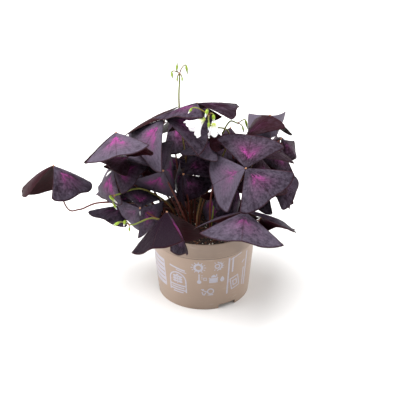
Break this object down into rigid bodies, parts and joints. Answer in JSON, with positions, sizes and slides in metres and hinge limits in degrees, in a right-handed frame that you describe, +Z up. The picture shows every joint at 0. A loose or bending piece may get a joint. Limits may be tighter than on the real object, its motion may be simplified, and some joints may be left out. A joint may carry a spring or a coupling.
{
  "type": "potted purple shamrock",
  "caption": "Purple-leaved shamrock house plant with white flowers in a taupe plastic nursery pot, for a table, shelf or windowsill.",
  "frame": {"origin": "on the pot's axis, at the flat pad under its floor that it stands on", "axes": "+Z up, -Y towards the picture's camera, +X to the camera's right"},
  "size_m": [0.3101, 0.2567, 0.275],
  "materials": {
    "pot_plastic": "smooth moulded taupe plastic with a soft shine",
    "peat": "rough dark peat soil",
    "leaf": "satin purple leaf",
    "stalk": "satin green stalk and bud",
    "petal": "soft white petal"
  },
  "bodies": {
    "root": {"bloom_left": "petal", "bloom_right": "petal", "leaf_back_1": "leaf", "leaf_back_2": "leaf", "leaf_back_3": "leaf", "leaf_back_4": "leaf", "leaf_back_5": "leaf", "leaf_back_6": "leaf", "leaf_back_7": "leaf", "leaf_back_8": "leaf", "leaf_back_9": "leaf", "leaf_centre_low": "leaf", "leaf_centre_upper": "leaf", "leaf_far_left": "leaf", "leaf_front_centre": "leaf", "leaf_front_low": "leaf", "leaf_inner_low": "leaf", "leaf_inner_right": "leaf", "leaf_left_bottom": "leaf", "leaf_left_lower": "leaf", "leaf_left_middle": "leaf", "leaf_left_under": "leaf", "leaf_left_upper": "leaf", "leaf_pale": "leaf", "leaf_right_bottom": "leaf", "leaf_right_edge": "leaf", "leaf_right_front": "leaf", "leaf_right_inner": "leaf", "leaf_right_low": "leaf", "leaf_right_outer": "leaf", "leaf_right_upper": "leaf", "leaf_top": "leaf", "leaf_top_left": "leaf", "pot": "pot_plastic", "soil": "peat", "stalk_bloom": "stalk", "stalk_left": "stalk", "stalk_low": "stalk", "stalk_right": "stalk", "stalk_stub": "stalk", "stalk_tall": "stalk"}
  },
  "joints": []
}
